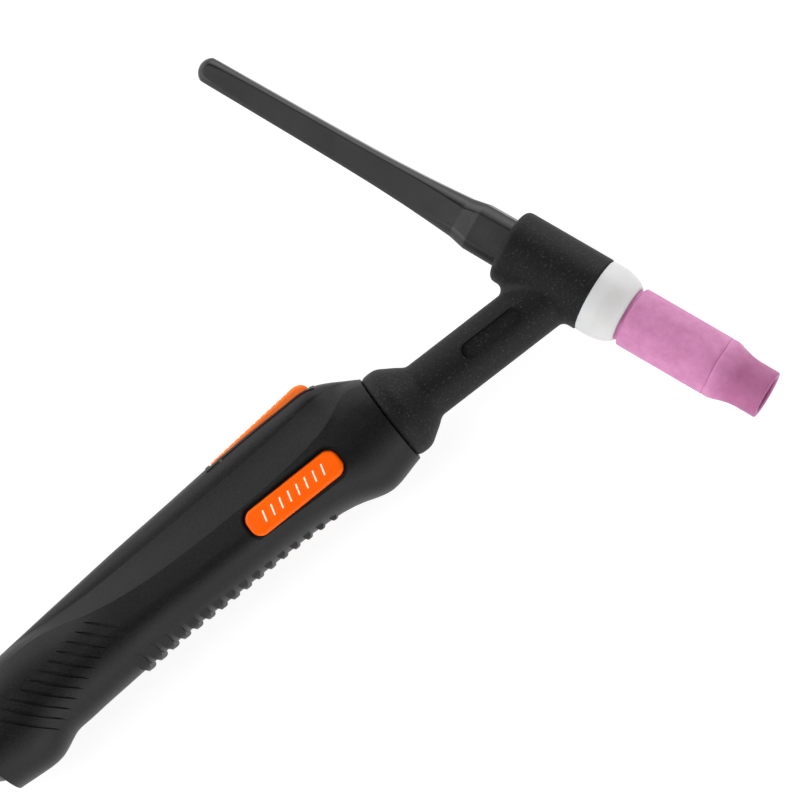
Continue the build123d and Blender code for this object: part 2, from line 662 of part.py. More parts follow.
def make_ribs(outer):
    """Rounded finger ribs that fade out up the side, short at the front and longer at the rear."""
    ribs = []
    inside = 1.6
    for number in range(RIBS):
        share = number / (RIBS - 1)
        x = RIB_FIRST_X + share * (RIB_LAST_X - RIB_FIRST_X)
        half_length, reach, height = (
            first + share * (last - first) for first, last in (RIB_HALF_LENGTHS, RIB_REACHES, RIB_HEIGHTS)
        )
        bottom = between_stations(x)[2]
        tip = bottom - height
        skin = []
        for z in (0.7 * reach, reach):
            hits = outer.find_intersection_points(Axis((x, -40, z), (0, 1, 0)))
            skin.append(min(point.Y for point, normal in hits))
        climb = Wire([
            Line((x, bottom + inside, 0), (x, tip, 0)),
            Bezier((x, tip, 0), (x, tip, 0.55 * reach), (x, skin[0] - 0.35 * height, 0.7 * reach), (x, skin[1], reach)),
            Line((x, skin[1], reach), (x, bottom + inside, 0)),
        ])
        front, rear = x + half_length, x - half_length
        lobe = Wire([
            ThreePointArc((rear, bottom + 0.15, 0), (x, tip, 0), (front, bottom + 0.15, 0)),
            Line((front, bottom + 0.15, 0), (front, bottom + 8, 0)),
            Line((front, bottom + 8, 0), (rear, bottom + 8, 0)),
            Line((rear, bottom + 8, 0), (rear, bottom + 0.15, 0)),
        ])
        rib = extrude(make_face(climb), half_length, dir=(1, 0, 0), both=True)
        ribs.append(rib & extrude(make_face(lobe), reach, dir=(0, 0, 1)))
    return ribs


def make_groove_cutters():
    """Slim bars with pointed ends that leave thumb grooves of even depth in the side."""
    floor = half_loft([offset_station(station, -GROOVE_DEPTH) for station in STATIONS])
    cutters = []
    for number in range(GROOVES):
        share = number / (GROOVES - 1)
        x, y = blend(GROOVE_FIRST, GROOVE_LAST, share)
        half_length = (GROOVE_LENGTHS[0] + share * (GROOVE_LENGTHS[1] - GROOVE_LENGTHS[0])) / 2
        half_width = (GROOVE_WIDTHS[0] + share * (GROOVE_WIDTHS[1] - GROOVE_WIDTHS[0])) / 2
        outline = make_face([
            ThreePointArc((-half_length, 0), (0, half_width), (half_length, 0)),
            ThreePointArc((half_length, 0), (0, -half_width), (-half_length, 0)),
        ])
        bar = Pos(x, y, 8) * Rot(0, 0, GROOVE_TURN) * extrude(outline, 14)
        cutters.append(bar - floor)
    return cutters


def make_well_rim():
    """Low lip round the trigger's well."""
    half = TRIGGER_HALF_WIDTH + WELL_GAP + WELL_RIM_WIDTH
    front = TRIGGER_FRONT + WELL_GAP + WELL_RIM_WIDTH
    rear = TRIGGER_REAR - WELL_GAP - WELL_RIM_WIDTH
    skin = half_loft([offset_station(station, WELL_RIM_HEIGHT) for station in STATIONS])
    return skin & box_between((rear, PIVOT_Y, 0), (front, 30, half))


def ball_socket():
    """Round seat for the knuckle, its front window and everything behind the slanted rear face."""
    seat = Pos(BALL_X, BALL_Y, 0) * Sphere(BALL_R + BALL_GAP)
    window = TAIL_PLANE.location * (Pos(0, 0, -BALL_R) * Cylinder(9.0, 12))
    rear_place = Plane(origin=(REAR_FACE_X, BALL_Y, 0), x_dir=(0, 0, 1), z_dir=TAIL_DIRECTION)
    behind = rear_place.location * (Pos(0, 0, 10) * Box(60, 60, 20))
    return [seat, window, behind]


def spigot_space():
    """Bore for the head's spigot, with the inward rib that sits in the spigot's groove."""
    gap = SPIGOT_GAP
    return turned_outline(NECK_PLANE, [
        (0, HANDLE_FRONT + 1), (SPIGOT_R + gap, HANDLE_FRONT + 1), (SPIGOT_R + gap, SPIGOT_GROOVE[1] - gap),
        (SPIGOT_GROOVE_R + gap, SPIGOT_GROOVE[1] - gap), (SPIGOT_GROOVE_R + gap, SPIGOT_GROOVE[0] + gap),
        (SPIGOT_R + gap, SPIGOT_GROOVE[0] + gap), (SPIGOT_R + gap, CAVITY_FRONT - 1), (0, CAVITY_FRONT - 1),
    ])


def inner_supports():
    """Walls and shelves inside one half: trigger well, spring seat, switch shelf and plug shelf."""
    half = TRIGGER_HALF_WIDTH + WELL_GAP
    front = TRIGGER_FRONT + WELL_GAP
    rear = TRIGGER_REAR - WELL_GAP
    return [
        box_between((rear - 1.5, WELL_FLOOR, half), (front + 1.0, 30, half + WELL_WALL)),
        box_between((SPRING_X - 3.2, SPRING_SEAT - 1.5, 0), (SPRING_X + 3.2, SPRING_SEAT, half + 4)),
        box_between((SWITCH_X[0] - 1, SWITCH_Y[0] - 1.0, 0), (SWITCH_X[1] + 1, SWITCH_Y[0], half + 7)),
        box_between(
            (LEAD_END_X - 8, PLUG_Y - PLUG_HALF_HEIGHT - 1.2, 0),
            (LEAD_END_X - 4, PLUG_Y - PLUG_HALF_HEIGHT, half + 6),
        ),
    ]


def make_handle_half(outer, cavity):
    """One plain half of the handle with everything that both halves share."""
    shell = outer - cavity
    for support in inner_supports():
        shell += support & outer
    for x, y in SCREW_PLACES:
        shell += rod(BOSS_R, 0, 20, x, y) & outer
    shell -= spigot_space()
    for cutter in ball_socket():
        shell -= cutter
    shell += make_well_rim()
    half = TRIGGER_HALF_WIDTH + WELL_GAP
    shell -= box_between(
        (TRIGGER_REAR - WELL_GAP, WELL_FLOOR, -1), (TRIGGER_FRONT + WELL_GAP, 30, half)
    )
    shell += box_between(
        (SPRING_X - 3.2, SPRING_SEAT - 1.5, 0), (SPRING_X + 3.2, SPRING_SEAT, half)
    )
    shell -= rod(PIN_R + 0.03, -1, PIN_HALF_LENGTH + 0.1, PIVOT_X, PIVOT_Y)
    shell -= badge_place(POCKET_FLOOR) * extrude(badge_outline(BADGE_GAP), 6)
    step_floor = half_loft([offset_station(station, -BADGE_STEP_DEPTH) for station in STATIONS])
    shell -= badge_place(POCKET_FLOOR) * extrude(badge_outline(BADGE_GAP + BADGE_STEP), 6) - step_floor
    for rib in make_ribs(outer):
        shell += rib
    for cutter in make_groove_cutters():
        shell -= cutter
    return shell


def make_handle_near(half):
    """Near half: blind holes for the screws."""
    for x, y in SCREW_PLACES:
        half = half - rod(SCREW_R + 0.05, -1, SCREW_TIP + 0.5, x, y)
    return half


def make_handle_far(half):
    """Far half: clearance holes and sunk seats for the screw heads."""
    shell = mirrored(half)
    for (x, y), seat in zip(SCREW_PLACES, SCREW_SEATS):
        shell = shell - rod(SCREW_R + 0.3, seat - 1, 1, x, y) - rod(SCREW_HEAD_R + 0.3, -30, seat, x, y)
    return shell


def make_handle_screws():
    """Pan-head screws with a cross recess."""
    screws = []
    for (x, y), seat in zip(SCREW_PLACES, SCREW_SEATS):
        head = rod(SCREW_HEAD_R, seat - SCREW_HEAD_HEIGHT, seat, x, y)
        head = fillet(head.faces().sort_by(Axis.Z)[0].edges(), 0.8)
        recess_z = seat - SCREW_HEAD_HEIGHT
        for turn in (0, 90):
            head -= Pos(x, y, recess_z) * Rot(0, 0, turn) * Box(2.8, 0.6, 2.0)
        screws.append(head + rod(SCREW_R, seat, SCREW_TIP, x, y))
    return Compound(screws)


# ---- trigger and switch ------------------------------------------------------------------------------

def make_trigger():
    """Rocker trigger: round nose, serrated sloping top, pivot hub and a post over the switch."""
    width = 2 * TRIGGER_HALF_WIDTH
    nose_r = 2.6
    slope = (TRIGGER_TOP_FRONT - TRIGGER_TOP_REAR) / (TRIGGER_FRONT - 4 - TRIGGER_REAR)
    top_start = (TRIGGER_FRONT - 4.0, TRIGGER_TOP_FRONT)
    rear_top = (TRIGGER_REAR + 0.8, TRIGGER_TOP_REAR + 0.8 * slope)
    outline = Wire([
        Line((TRIGGER_FRONT, TRIGGER_UNDER), (TRIGGER_FRONT, TRIGGER_TOP_FRONT - nose_r)),
        Spline(
            [(TRIGGER_FRONT, TRIGGER_TOP_FRONT - nose_r), top_start],
            tangents=[(0, 1), (-1, -slope)], tangent_scalars=[1.1, 1.1],
        ),
        Line(top_start, rear_top),
        Line(rear_top, (TRIGGER_REAR, TRIGGER_TOP_REAR - 0.8)),
        Line((TRIGGER_REAR, TRIGGER_TOP_REAR - 0.8), (TRIGGER_REAR, TRIGGER_UNDER)),
        Line((TRIGGER_REAR, TRIGGER_UNDER), (TRIGGER_FRONT, TRIGGER_UNDER)),
    ])
    body = Pos(0, 0, -width / 2) * extrude(make_face(outline), width)
    sides = [e for e in body.edges() if abs(abs(e.center().Z) - width / 2) < 0.01]
    body = fillet([e for e in sides if e.center().Y > TRIGGER_TOP_REAR - 0.6], 1.1)

    hollow_front = TRIGGER_FRONT - 2.0
    hollow_rear = PIVOT_X + 4.0
    body -= box_between(
        (hollow_rear, TRIGGER_UNDER - 1, -TRIGGER_HALF_WIDTH + 1.6),
        (hollow_front, 20.6, TRIGGER_HALF_WIDTH - 1.6),
    )
    hub = rod(2.7, -TRIGGER_HALF_WIDTH, TRIGGER_HALF_WIDTH, PIVOT_X, PIVOT_Y)
    post = box_between((PLUNGER_X - 1.5, PLUNGER_TOP + 0.12, -1.5), (PLUNGER_X + 1.5, 21, 1.5))
    spring_cup = box_between((SPRING_X - 3, TRIGGER_UNDER + 0.6, -4.2), (SPRING_X + 3, 21, 4.2))
    body = body + hub + post + spring_cup

    pitch = (TRIGGER_FRONT - 5.5 - TRIGGER_REAR) / SERRATIONS
    angle = math.degrees(math.atan(slope))
    for number in range(SERRATIONS):
        x = TRIGGER_REAR + 1.4 + pitch * number
        y = TRIGGER_TOP_REAR + slope * (x - TRIGGER_REAR)
        tooth = Polyline([(0.7, 0.6), (0, -SERRATION_DEPTH), (-0.7, 0.6), (0.7, 0.6)])
        notch = extrude(make_face(tooth), width, both=True)
        body -= Pos(x, y, 0) * Rot(0, 0, angle) * notch
    return body - rod(PIN_R + 0.05, -width, width, PIVOT_X, PIVOT_Y)


def make_trigger_pin():
    """Steel pin that the trigger rocks on."""
    return rod(PIN_R, -PIN_HALF_LENGTH, PIN_HALF_LENGTH, PIVOT_X, PIVOT_Y)


def make_trigger_spring():
    """Compression spring between its seat and the trigger's cup."""
    low = SPRING_SEAT + SPRING_WIRE_R
    high = TRIGGER_UNDER + 0.6 - SPRING_WIRE_R
    path = Helix(pitch=(high - low) / SPRING_TURNS, height=high - low, radius=SPRING_COIL_R)
    wire_section = Plane(origin=path @ 0, z_dir=path % 0).location * Circle(SPRING_WIRE_R)
    coil = sweep(wire_section, path=path, is_frenet=True)
    return Pos(SPRING_X, low, 0) * Rot(-90, 0, 0) * coil


def make_switch_body():
    """Micro switch case with a well for the plunger."""
    case = box_between((SWITCH_X[0], SWITCH_Y[0], -SWITCH_HALF_WIDTH), (SWITCH_X[1], SWITCH_Y[1], SWITCH_HALF_WIDTH))
    case = chamfer(case.edges().filter_by(Axis.Z), 0.4)
    well_floor = PLUNGER_FOOT - 1.3
    well = Pos(PLUNGER_X, (well_floor + SWITCH_Y[1]) / 2, 0) * Rot(90, 0, 0) * Cylinder(
        PLUNGER_R + 0.06, SWITCH_Y[1] - well_floor
    )
    return case - well


def make_switch_plunger():
    """Button of the micro switch."""
    button = Pos(PLUNGER_X, (PLUNGER_FOOT + PLUNGER_TOP) / 2, 0) * Rot(90, 0, 0) * Cylinder(
        PLUNGER_R, PLUNGER_TOP - PLUNGER_FOOT
    )
    return fillet(button.faces().sort_by(Axis.Y)[-1].edges(), 0.3)


TERMINAL_Y = 10.6
TERMINAL_LENGTH = 3.0


def make_switch_terminals():
    """Two solder blades at the back of the switch."""
    blades = []
    for z in (-LEAD_SPREAD, LEAD_SPREAD):
        blades.append(box_between(
            (SWITCH_X[0] - TERMINAL_LENGTH, TERMINAL_Y - 0.8, z - 0.25), (SWITCH_X[0], TERMINAL_Y + 0.8, z + 0.25)
        ))
    return Compound(blades)


def make_switch_leads():
    """Two leads from the blades to the plug, eased down under the middle screw."""
    start = SWITCH_X[0] - TERMINAL_LENGTH
    leads = []
    for z in (-LEAD_SPREAD, LEAD_SPREAD):
        points = [(start, TERMINAL_Y, z), (-119, TERMINAL_Y, z), (-133, PLUG_Y, z), (LEAD_END_X, PLUG_Y, z)]
        path = FilletPolyline(*points, radius=20.0)
        section = Plane(origin=path @ 0, z_dir=path % 0).location * Circle(LEAD_R)
        leads.append(sweep(section, path=path))
    return Compound(leads)


def make_lead_plug():
    """Two-way plug that the switch cable of the hose pack pushes into."""
    rear = LEAD_END_X - PLUG_LENGTH
    body = box_between(
        (rear, PLUG_Y - PLUG_HALF_HEIGHT, -PLUG_HALF_WIDTH), (LEAD_END_X, PLUG_Y + PLUG_HALF_HEIGHT, PLUG_HALF_WIDTH)
    )
    body = chamfer(body.edges().filter_by(Axis.X), 0.5)
    latch = box_between(
        (rear + 3, PLUG_Y + PLUG_HALF_HEIGHT, -1.2), (rear + 8, PLUG_Y + PLUG_HALF_HEIGHT + 0.7, 1.2)
    )
    body += latch
    for z in (-LEAD_SPREAD, LEAD_SPREAD):
        body -= Pos(rear + 3, PLUG_Y, z) * Rot(0, 90, 0) * Cylinder(0.9, 6.2)
    return body


# ---- knuckle -------------------------------------------------------------------------------------------

def make_knuckle_ball():
    """Ball with a cable bore, and a barbed tail that takes the cable cover."""
    join = math.sqrt(BALL_R**2 - TAIL_R**2)
    front_r = math.sqrt(BALL_R**2 - BALL_FRONT**2)
    mouth_r = BALL_BORE_R + 1.0
    barb_pitch = (TAIL_LENGTH - join - 3.0) / TAIL_BARBS
    tail = [(TAIL_R, join), (TAIL_R, join + 1.5)]
    for number in range(TAIL_BARBS):
        foot = join + 1.5 + number * barb_pitch
        tail += [(TAIL_R - 1.0, foot + 0.2), (TAIL_R, foot + 1.4), (TAIL_R - 0.2, foot + barb_pitch)]
    return turned(
        TAIL_PLANE,
        ThreePointArc((front_r, 0, BALL_FRONT), (BALL_R, 0, 0), (TAIL_R, 0, join)),
        line(
            *tail, (TAIL_R - 0.6, TAIL_LENGTH), (mouth_r, TAIL_LENGTH), (BALL_BORE_R, TAIL_LENGTH - 1.0),
            (BALL_BORE_R, -4.0), (front_r - 0.6, BALL_FRONT), (front_r, BALL_FRONT),
        ),
    )


# ---- assembly ------------------------------------------------------------------------------------------

def make_torch():
    """Every piece by name, in the design frame."""
    outer = half_loft(STATIONS)
    half = make_handle_half(outer, make_cavity())
    badge = make_badge()
    return {
        "head_overmould": make_head_overmould(),
        "torch_core": make_torch_core(),
        "neck_tube": make_neck_tube(),
        "cable_adaptor": make_cable_adaptor(),
        "cup_gasket": make_cup_gasket(),
        "collet_body": make_collet_body(),
        "collet": make_collet(),
        "electrode": make_electrode(),
        "nozzle": make_nozzle(),
        "back_cap": make_back_cap(),
        "back_cap_oring": make_back_cap_oring(),
        "handle_shell_near": make_handle_near(half),
        "handle_shell_far": make_handle_far(half),
        "handle_screws": make_handle_screws(),
        "badge_near": badge,
        "badge_far": mirrored(badge),
        "trigger": make_trigger(),
        "trigger_pin": make_trigger_pin(),
        "trigger_spring": make_trigger_spring(),
        "switch_body": make_switch_body(),
        "switch_plunger": make_switch_plunger(),
        "switch_terminals": make_switch_terminals(),
        "switch_leads": make_switch_leads(),
        "lead_plug": make_lead_plug(),
        "knuckle_ball": make_knuckle_ball(),
    }


def place_in_row_frame(pieces):
    """Move the origin to the middle of the torch's footprint, on the surface that it lies on."""
    box = Compound(list(pieces.values())).bounding_box()
    shift = Pos(-(box.min.X + box.max.X) / 2, -(box.min.Y + box.max.Y) / 2, -box.min.Z)
    print("design origin in the row frame:", shift.position)
    return {name: shift * piece for name, piece in pieces.items()}


os.makedirs("parts", exist_ok=True)
for name, piece in place_in_row_frame(make_torch()).items():
    export_step(piece, f"parts/{name}.step")
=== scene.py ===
import json
import math

import bmesh
import bpy
from mathutils import Matrix, Vector, noise


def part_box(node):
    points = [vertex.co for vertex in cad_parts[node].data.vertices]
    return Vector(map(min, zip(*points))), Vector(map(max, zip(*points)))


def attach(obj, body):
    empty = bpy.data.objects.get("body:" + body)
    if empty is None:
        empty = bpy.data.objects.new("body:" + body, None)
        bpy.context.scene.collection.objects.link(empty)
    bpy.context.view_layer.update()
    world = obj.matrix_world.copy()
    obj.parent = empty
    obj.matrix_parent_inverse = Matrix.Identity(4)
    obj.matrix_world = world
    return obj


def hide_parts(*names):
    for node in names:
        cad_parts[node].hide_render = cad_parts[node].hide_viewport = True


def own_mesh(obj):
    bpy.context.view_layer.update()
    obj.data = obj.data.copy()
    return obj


# TIG torch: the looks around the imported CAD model. Outlines and tables of shapes are in millimetres;
# everything that comes from the frame, and every value multiplied by MM, is in metres.

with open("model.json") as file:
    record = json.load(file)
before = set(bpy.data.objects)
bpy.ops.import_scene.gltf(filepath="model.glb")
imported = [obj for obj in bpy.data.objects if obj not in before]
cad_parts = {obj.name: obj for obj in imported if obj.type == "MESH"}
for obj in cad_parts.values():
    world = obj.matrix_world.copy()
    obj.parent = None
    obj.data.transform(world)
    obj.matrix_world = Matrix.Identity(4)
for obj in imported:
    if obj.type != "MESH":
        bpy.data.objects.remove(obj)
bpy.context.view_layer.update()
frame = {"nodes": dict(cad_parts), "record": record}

MM = 0.001

# ---- places taken from the frame ------------------------------------------------------------------

TUBE_HEAD_END = -7.15 * MM           # the neck tube's head end, from the design's origin
tube_low, tube_high = (Vector(corner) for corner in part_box("neck_tube"))
ORIGIN = Vector((
    tube_high.x - TUBE_HEAD_END,
    (tube_low.y + tube_high.y) / 2,
    (tube_low.z + tube_high.z) / 2,
))
CROSSING = ORIGIN + Vector((-0.45 * MM, 0, 0))       # of the neck's axis and the head's
HEAD_TURN = math.radians(-68.2)
HEAD_AXIS = Vector((math.cos(HEAD_TURN), math.sin(HEAD_TURN), 0))
HEAD_SIDE = HEAD_AXIS.cross(Vector((0, 0, 1)))


# ---- materials --------------------------------------------------------------------------------------

class Shader:
    """A Principled material under construction, with short calls for its texture nodes."""

    def __init__(self, name, color, roughness, metallic=0.0):
        self.material = bpy.data.materials.new(name)
        self.material.use_nodes = True
        self.tree = self.material.node_tree
        self.main = self.tree.nodes["Principled BSDF"]
        self.main.inputs["Base Color"].default_value = (*color, 1)
        self.main.inputs["Roughness"].default_value = roughness
        self.main.inputs["Metallic"].default_value = metallic
        self.place = self.tree.nodes.new("ShaderNodeTexCoord").outputs["Object"]

    def set(self, **values):
        for name, value in values.items():
            self.main.inputs[name.replace("_", " ")].default_value = value
        return self

    def link(self, output, node, name):
        self.tree.links.new(output, node.inputs[name])

    def noise(self, size, detail=3.0, rough=0.5, stretch=None):
        """Noise whose features are about size metres across."""
        node = self.tree.nodes.new("ShaderNodeTexNoise")
        node.inputs["Scale"].default_value = 1 / size
        node.inputs["Detail"].default_value = detail
        node.inputs["Roughness"].default_value = rough
        source = self.place
        if stretch:
            mapping = self.tree.nodes.new("ShaderNodeMapping")
            mapping.inputs["Scale"].default_value = stretch
            self.link(source, mapping, "Vector")
            source = mapping.outputs["Vector"]
        self.link(source, node, "Vector")
        return node.outputs["Fac"]

    def distance(self, start, direction):
        """How far a place lies from start along a direction, in metres."""
        node = self.tree.nodes.new("ShaderNodeVectorMath")
        node.operation = "DOT_PRODUCT"
        node.inputs[1].default_value = direction
        self.link(self.place, node, 0)
        return self.math("SUBTRACT", node.outputs["Value"], start.dot(direction))

    def ramp(self, value, low, high, out_low=0.0, out_high=1.0):
        """Value mapped from low..high to out_low..out_high, clamped."""
        node = self.tree.nodes.new("ShaderNodeMapRange")
        node.inputs["From Min"].default_value = low
        node.inputs["From Max"].default_value = high
        node.inputs["To Min"].default_value = out_low
        node.inputs["To Max"].default_value = out_high
        self.link(value, node, "Value")
        return node.outputs["Result"]

    def mix(self, factor, first, second):
        """Colour mix; first and second are colours or sockets."""
        node = self.tree.nodes.new("ShaderNodeMix")
        node.data_type = "RGBA"
        self.tree.links.new(factor, node.inputs[0])
        for value, index in ((first, 6), (second, 7)):
            if isinstance(value, tuple):
                node.inputs[index].default_value = (*value, 1)
            else:
                self.tree.links.new(value, node.inputs[index])
        return node.outputs[2]

    def math(self, operation, first, second):
        node = self.tree.nodes.new("ShaderNodeMath")
        node.operation = operation
        for value, index in ((first, 0), (second, 1)):
            if isinstance(value, (int, float)):
                node.inputs[index].default_value = value
            else:
                self.tree.links.new(value, node.inputs[index])
        return node.outputs[0]

    def color(self, output):
        self.link(output, self.main, "Base Color")
        return self

    def roughness(self, output):
        self.link(output, self.main, "Roughness")
        return self

    def bump(self, *layers):
        """Stacked bumps, each (height output, depth in metres)."""
        last = None
        for height, depth in layers:
            node = self.tree.nodes.new("ShaderNodeBump")
            node.inputs["Strength"].default_value = 1.0
            node.inputs["Distance"].default_value = depth
            self.link(height, node, "Height")
            if last:
                self.link(last, node, "Normal")
            last = node.outputs["Normal"]
        self.link(last, self.main, "Normal")
        return self


def handle_plastic():
    """Satin black moulding with a fine spark-eroded grain."""
    s = Shader("handle_plastic", (0.005, 0.005, 0.005), 0.4)
    grain = s.noise(0.00045, 4, 0.6)
    patches = s.noise(0.02, 2)
    s.color(s.mix(s.ramp(grain, 0.35, 0.75), (0.0015, 0.0015, 0.0016), (0.011, 0.011, 0.0113)))
    s.set(Specular_IOR_Level=0.18)
    s.roughness(s.math("ADD", s.ramp(grain, 0.3, 0.7, 0.36, 0.46), s.ramp(patches, 0.3, 0.7, -0.03, 0.03)))
    s.bump((grain, 0.00009))
    return s.material


def moulded_rubber():
    """Matte black rubber, speckled with fine pale grains."""
    s = Shader("moulded_rubber", (0.005, 0.005, 0.005), 0.6)
    grain = s.noise(0.0005, 4, 0.65)
    specks = s.ramp(s.noise(0.0006, 2, 0.5), 0.58, 0.74)
    s.color(s.mix(specks, (0.003, 0.003, 0.003), (0.03, 0.03, 0.031)))
    s.set(Specular_IOR_Level=0.2)
    s.roughness(s.ramp(grain, 0.3, 0.7, 0.52, 0.66))
    s.bump((grain, 0.0001))
    return s.material


def cap_phenolic():
    """Smooth dark phenolic with a dull sheen."""
    s = Shader("cap_phenolic", (0.012, 0.012, 0.012), 0.34)
    flow = s.noise(0.006, 3, 0.5)
    fine = s.noise(0.0006, 3, 0.5)
    s.color(s.mix(flow, (0.007, 0.007, 0.007), (0.012, 0.012, 0.0125)))
    s.roughness(s.math("ADD", s.ramp(flow, 0.3, 0.7, 0.28, 0.36), s.ramp(fine, 0.3, 0.7, -0.02, 0.04)))
    s.set(Specular_IOR_Level=0.3)
    s.bump((fine, 0.00002))
    return s.material


def pink_alumina():
    """Unglazed pink alumina: chalky, faintly mottled, with painted shade that darkens it towards the tip.
    """
    s = Shader("pink_alumina", (0.60, 0.235, 0.43), 0.55)
    mottle = s.noise(0.004, 5, 0.65)
    grain = s.noise(0.0004, 3, 0.6)
    body = s.mix(s.ramp(mottle, 0.35, 0.65), (0.47, 0.17, 0.335), (0.56, 0.225, 0.41))
    # painted shade: the tip colours are darker copies of the body colours, standing in for light falling
    # off towards the mouth
    tip = s.mix(s.ramp(mottle, 0.35, 0.65), (0.33, 0.095, 0.215), (0.39, 0.125, 0.262))
    s.color(s.mix(s.ramp(s.distance(CROSSING, HEAD_AXIS), 0.052, 0.058), body, tip))
    s.roughness(s.ramp(grain, 0.3, 0.7, 0.5, 0.66))
    s.set(Subsurface_Weight=0.1, Subsurface_Scale=0.001, Specular_IOR_Level=0.3)
    s.bump((grain, 0.00003))
    return s.material


def white_ptfe():
    """Milky white PTFE with a faint fine grain."""
    s = Shader("white_ptfe", (0.58, 0.58, 0.58), 0.42)
    cloud = s.noise(0.004, 3, 0.5)
    s.color(s.mix(cloud, (0.55, 0.55, 0.552), (0.6, 0.6, 0.597)))
    s.roughness(s.ramp(cloud, 0.3, 0.7, 0.36, 0.48))
    s.set(Subsurface_Weight=0.2, Subsurface_Scale=0.002)
    s.bump((s.noise(0.0005, 2), 0.00001))
    return s.material


def orange(name, color, dark, roughness, grain_depth):
    """Bright orange moulding."""
    s = Shader(name, color, roughness)
    grain = s.noise(0.0004, 3, 0.6)
    s.color(s.mix(s.ramp(s.noise(0.008, 2), 0.3, 0.7), dark, color))
    s.roughness(s.ramp(grain, 0.3, 0.7, roughness - 0.04, roughness + 0.06))
    s.set(Specular_IOR_Level=0.1)
    s.bump((grain, grain_depth))
    return s.material


def metal(name, color, dark, roughness, brush=None):
    """Turned or drawn metal with uneven tarnish."""
    s = Shader(name, color, roughness, 1.0)
    tarnish = s.noise(0.003, 4, 0.6)
    fine = s.noise(0.0003, 3, 0.6, brush)
    s.color(s.mix(s.ramp(tarnish, 0.35, 0.7), dark, color))
    worn = s.ramp(tarnish, 0.3, 0.7, roughness, roughness + 0.15)
    s.roughness(s.math("ADD", worn, s.math("MULTIPLY", fine, 0.1)))
    s.bump((fine, 0.00001))
    return s.material


def plain_plastic(name, color, roughness):
    """Small inner mouldings and lead insulation."""
    s = Shader(name, color, roughness)
    grain = s.noise(0.0005, 3, 0.5)
    shade = tuple(0.8 * c for c in color)
    s.color(s.mix(s.ramp(s.noise(0.004, 2), 0.3, 0.7), shade, color))
    s.roughness(s.ramp(grain, 0.3, 0.7, roughness - 0.05, roughness + 0.08))
    s.bump((grain, 0.00002))
    return s.material


MATERIALS = {
    "handle_plastic": handle_plastic(),
    "moulded_rubber": moulded_rubber(),
    "cap_phenolic": cap_phenolic(),
    "pink_alumina": pink_alumina(),
    "white_ptfe": white_ptfe(),
    "orange_inlay": orange("orange_inlay", (0.97, 0.118, 0.0), (0.93, 0.106, 0.0), 0.3, 0.000004),
    "orange_trigger": orange("orange_trigger", (0.95, 0.19, 0.03), (0.91, 0.17, 0.024), 0.45, 0.00002),
    "knuckle_plastic": plain_plastic("knuckle_plastic", (0.02, 0.02, 0.021), 0.42),
    "brass": metal("brass", (0.78, 0.56, 0.25), (0.55, 0.36, 0.14), 0.28),
    "copper": metal("copper", (0.86, 0.44, 0.27), (0.58, 0.26, 0.15), 0.3),
    "tungsten": metal("tungsten", (0.52, 0.52, 0.53), (0.40, 0.40, 0.41), 0.3),
    "zinc_steel": metal("zinc_steel", (0.62, 0.62, 0.61), (0.45, 0.45, 0.44), 0.3),
    "spring_steel": metal("spring_steel", (0.5, 0.5, 0.5), (0.35, 0.35, 0.35), 0.3),
    "tinned_brass": metal("tinned_brass", (0.7, 0.68, 0.62), (0.55, 0.52, 0.45), 0.3),
    "seal_rubber": plain_plastic("seal_rubber", (0.015, 0.015, 0.015), 0.5),
    "switch_plastic": plain_plastic("switch_plastic", (0.03, 0.03, 0.03), 0.4),
    "button_plastic": plain_plastic("button_plastic", (0.5, 0.04, 0.03), 0.35),
    "lead_insulation": plain_plastic("lead_insulation", (0.55, 0.55, 0.52), 0.4),
    "plug_nylon": plain_plastic("plug_nylon", (0.75, 0.74, 0.68), 0.45),
}


def dress_cad_nodes():
    """Every carried-over CAD node takes its slot's material."""
    slots = {entry["node"]: entry["material_slot"] for entry in frame["record"]["subparts"]}
    for name, node in frame["nodes"].items():
        node.data.materials.clear()
        node.data.materials.append(MATERIALS[slots[name]])


dress_cad_nodes()


# ---- mesh helpers -----------------------------------------------------------------------------------

def add_piece(name, vertices, faces, body, slot, nodes=(), materials=()):
    """Smooth-shaded mesh piece that rides a body and stands for some CAD nodes."""
    mesh = bpy.data.meshes.new(name)
    mesh.from_pydata(vertices, [], faces)
    shape = bmesh.new()
    shape.from_mesh(mesh)
    bmesh.ops.remove_doubles(shape, verts=shape.verts, dist=1e-7)
    bmesh.ops.dissolve_degenerate(shape, edges=shape.edges, dist=1e-7)
    bmesh.ops.recalc_face_normals(shape, faces=shape.faces)
    for face in shape.faces:
        face.smooth = True
    shape.to_mesh(mesh)
    shape.free()
    piece = bpy.data.objects.new(name, mesh)
    bpy.context.collection.objects.link(piece)
    for material in materials or (MATERIALS[slot],):
        mesh.materials.append(material)
    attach(piece, body)
    if nodes:
        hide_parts(*nodes)
    return piece


def rounded(corners, steps=4):
    """Closed outline through (radius, along, rounding) corners in mm, each one rounded off."""
    points = []
    for number, (radius, along, rounding) in enumerate(corners):
        here = Vector((radius, along))
        if not rounding:
            points.append(here)
            continue
        before = Vector(corners[number - 1][:2]) - here
        after = Vector(corners[(number + 1) % len(corners)][:2]) - here
        start = here + rounding * before.normalized()
        end = here + rounding * after.normalized()
        for step in range(steps + 1):
            t = step / steps
            points.append((1 - t) ** 2 * start + 2 * t * (1 - t) * here + t * t * end)
    return points


def divided(points, longest):
    """The same closed outline with its long runs divided."""
    result = []
    for number, start in enumerate(points):
        end = points[(number + 1) % len(points)]
        pieces = max(1, math.ceil((end - start).length / longest))
        result.extend(start.lerp(end, part / pieces) for part in range(pieces))
    return result


def head_point(radius, along, angle):
    """Point round the head's axis, in metres, from lengths in mm; angle 0 is straight up."""
    away = math.cos(angle) * Vector((0, 0, 1)) + math.sin(angle) * HEAD_SIDE
    return CROSSING + MM * (along * HEAD_AXIS + radius * away)


